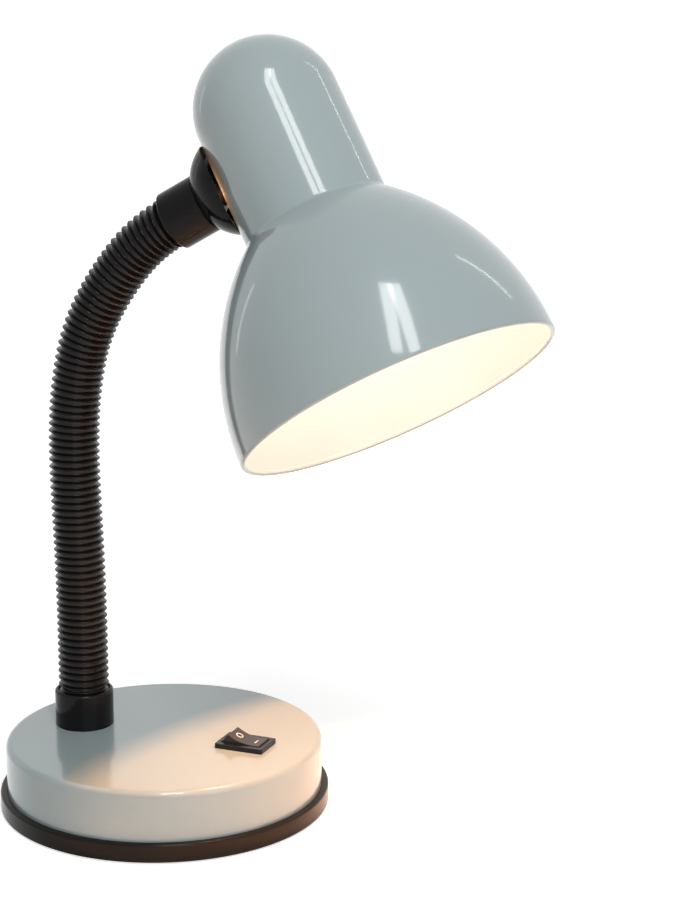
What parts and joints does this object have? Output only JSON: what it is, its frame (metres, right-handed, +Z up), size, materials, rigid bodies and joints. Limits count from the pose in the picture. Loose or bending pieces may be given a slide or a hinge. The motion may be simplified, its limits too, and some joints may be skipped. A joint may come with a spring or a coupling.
{
  "type": "gooseneck desk lamp",
  "caption": "Desk lamp with a weighted round base and rocker switch, a flexible ribbed neck and a bell-shaped metal shade on a saddle holder, bulb fitted.",
  "frame": {"origin": "centre of the pad's face that stands on the desk", "axes": "+Z up from the desk, +X from the neck's foot over the switch"},
  "size_m": [0.2288, 0.14, 0.3118],
  "materials": {
    "grey_paint": "gloss",
    "tray_black": "satin",
    "foam_pad": "matte",
    "iron": "rough",
    "zinc_plate": "satin",
    "lead_sheath": "satin",
    "gloss_black": "gloss",
    "rocker_black": "gloss",
    "brass": "satin",
    "sleeve_black": "satin",
    "neck_black": "satin",
    "hose_steel": "satin",
    "holder_ivory": "satin",
    "opal_glass": "opal",
    "nickel": "polished"
  },
  "bodies": {
    "base": {"base_shell": "grey_paint", "base_tray": "tray_black", "base_pad": "foam_pad", "base_weight": "iron", "tray_screws": "zinc_plate", "cord_gland": "tray_black", "gland_nut": "tray_black", "base_lead": "lead_sheath", "switch_housing": "gloss_black", "switch_terminals": "brass", "neck_collar": "gloss_black", "neck_stud": "zinc_plate", "stud_washer": "zinc_plate", "stud_nut": "zinc_plate", "hose_foot": "hose_steel"},
    "rocker": {"rocker": "rocker_black"},
    "neck_1": {"neck_cover_1": "neck_black", "neck_hose_1": "hose_steel"},
    "neck_2": {"neck_cover_2": "neck_black", "neck_hose_2": "hose_steel"},
    "neck_3": {"neck_cover_3": "neck_black", "neck_hose_3": "hose_steel"},
    "neck_4": {"neck_cover_4": "neck_black", "neck_hose_4": "hose_steel"},
    "neck_5": {"neck_cover_5": "neck_black", "neck_hose_5": "hose_steel"},
    "neck_6": {"neck_cover_6": "neck_black", "neck_hose_6": "hose_steel"},
    "neck_7": {"neck_cover_7": "neck_black", "neck_hose_7": "hose_steel"},
    "neck_8": {"neck_cover_8": "neck_black", "neck_hose_8": "hose_steel"},
    "neck_9": {"neck_cover_9": "neck_black", "neck_hose_9": "hose_steel"},
    "head": {"hose_end": "hose_steel", "head_sleeve": "sleeve_black", "head_dish": "sleeve_black", "dish_nut": "zinc_plate", "head_nipple": "zinc_plate", "nipple_nut": "zinc_plate", "shade": "grey_paint", "holder_bracket": "zinc_plate", "bracket_nipple": "zinc_plate", "bracket_nut": "zinc_plate", "lampholder_cap": "holder_ivory", "lampholder_skirt": "holder_ivory", "socket_shell": "brass", "socket_contact": "brass", "head_lead": "lead_sheath", "bulb_glass": "opal_glass", "bulb_cap": "nickel", "bulb_contact": "nickel"}
  },
  "joints": [
    {"name": "switch_rocker", "type": "hinge", "parent": "base", "child": "rocker", "pos_m": [0.0365, 0, 0.0277], "axis": [0, 1, 0], "range_deg": [-28, 0]},
    {"name": "neck_lower_bend", "type": "hinge", "parent": "base", "child": "neck_1", "pos_m": [-0.037, 0, 0.0446], "axis": [-0.1392, 0.9903, 0], "range_deg": [-7.5, 7.5]},
    {"name": "neck_sway", "type": "hinge", "parent": "neck_1", "child": "neck_2", "pos_m": [-0.037, 0, 0.0678], "axis": [0.9903, 0.1392, 0], "range_deg": [-7.5, 7.5]},
    {"name": "neck_lower_bend_2", "type": "hinge", "parent": "neck_2", "child": "neck_3", "pos_m": [-0.0372, -0.00003, 0.091], "axis": [-0.1392, 0.9903, 0], "range_deg": [-7.5, 7.5]},
    {"name": "neck_sway_2", "type": "hinge", "parent": "neck_3", "child": "neck_4", "pos_m": [-0.0378, -0.00011, 0.11419], "axis": [0.9897, 0.1391, 0.0349], "range_deg": [-7.5, 7.5]},
    {"name": "neck_lower_bend_3", "type": "hinge", "parent": "neck_4", "child": "neck_5", "pos_m": [-0.0384, -0.0002, 0.13738], "axis": [-0.1392, 0.9903, 0], "range_deg": [-7.5, 7.5]},
    {"name": "neck_upper_bend", "type": "hinge", "parent": "neck_5", "child": "neck_6", "pos_m": [-0.0378, -0.00011, 0.16057], "axis": [-0.1392, 0.9903, 0], "range_deg": [-7.5, 7.5]},
    {"name": "neck_sway_3", "type": "hinge", "parent": "neck_6", "child": "neck_7", "pos_m": [-0.03441, 0.00036, 0.18349], "axis": [0.9649, 0.1356, -0.225], "range_deg": [-7.5, 7.5]},
    {"name": "neck_upper_bend_2", "type": "hinge", "parent": "neck_7", "child": "neck_8", "pos_m": [-0.0262, 0.00152, 0.20508], "axis": [-0.1392, 0.9903, 0], "range_deg": [-7.5, 7.5]},
    {"name": "neck_sway_4", "type": "hinge", "parent": "neck_8", "child": "neck_9", "pos_m": [-0.01321, 0.00334, 0.22417], "axis": [0.7586, 0.1066, -0.6428], "range_deg": [-7.5, 7.5]},
    {"name": "neck_upper_bend_3", "type": "hinge", "parent": "neck_9", "child": "head", "pos_m": [0.0043, 0.0058, 0.239], "axis": [-0.1392, 0.9903, 0], "range_deg": [-7.5, 7.5]}
  ],
  "couplings": [
    {"joint": "neck_lower_bend_2", "follows": "neck_lower_bend", "ratio": 1},
    {"joint": "neck_lower_bend_3", "follows": "neck_lower_bend", "ratio": 1},
    {"joint": "neck_upper_bend_2", "follows": "neck_upper_bend", "ratio": 1},
    {"joint": "neck_upper_bend_3", "follows": "neck_upper_bend", "ratio": 1},
    {"joint": "neck_sway_2", "follows": "neck_sway", "ratio": 1},
    {"joint": "neck_sway_3", "follows": "neck_sway", "ratio": 1},
    {"joint": "neck_sway_4", "follows": "neck_sway", "ratio": 1}
  ]
}
